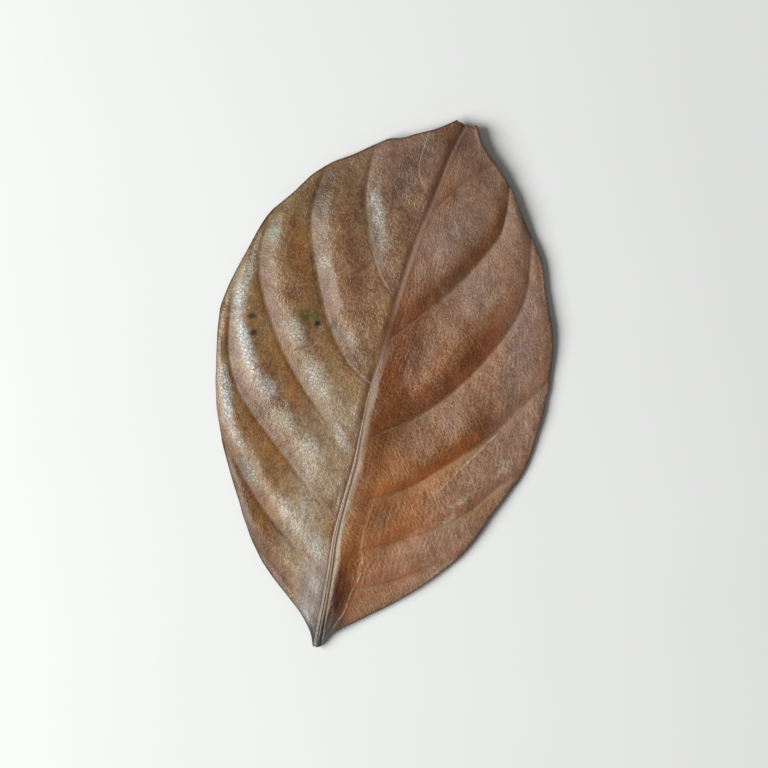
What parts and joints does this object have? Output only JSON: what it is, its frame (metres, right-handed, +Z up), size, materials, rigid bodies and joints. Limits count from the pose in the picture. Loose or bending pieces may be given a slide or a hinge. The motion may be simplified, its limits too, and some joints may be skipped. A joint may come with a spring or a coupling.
{
  "type": "jackfruit leaf",
  "caption": "Dry brown fallen leaf, elliptic with a blunt bent-down tip, panels that bulge between side veins, a raised midrib below and a short stalk stub. Lies face up.",
  "frame": {"origin": "middle of the leaf's box, on the surface that the leaf lies on", "axes": "+Y from the stub at the base to the tip, +Z up from the surface through the upper face, +X to the right seen from above with the tip up"},
  "size_m": [0.0936, 0.1502, 0.0058],
  "materials": {
    "dry_leaf": "dry leathery leaf, brown with a soft waxy sheen on the upper face, paler and dull below"
  },
  "bodies": {
    "root": {"leaf": "dry_leaf"}
  },
  "joints": []
}
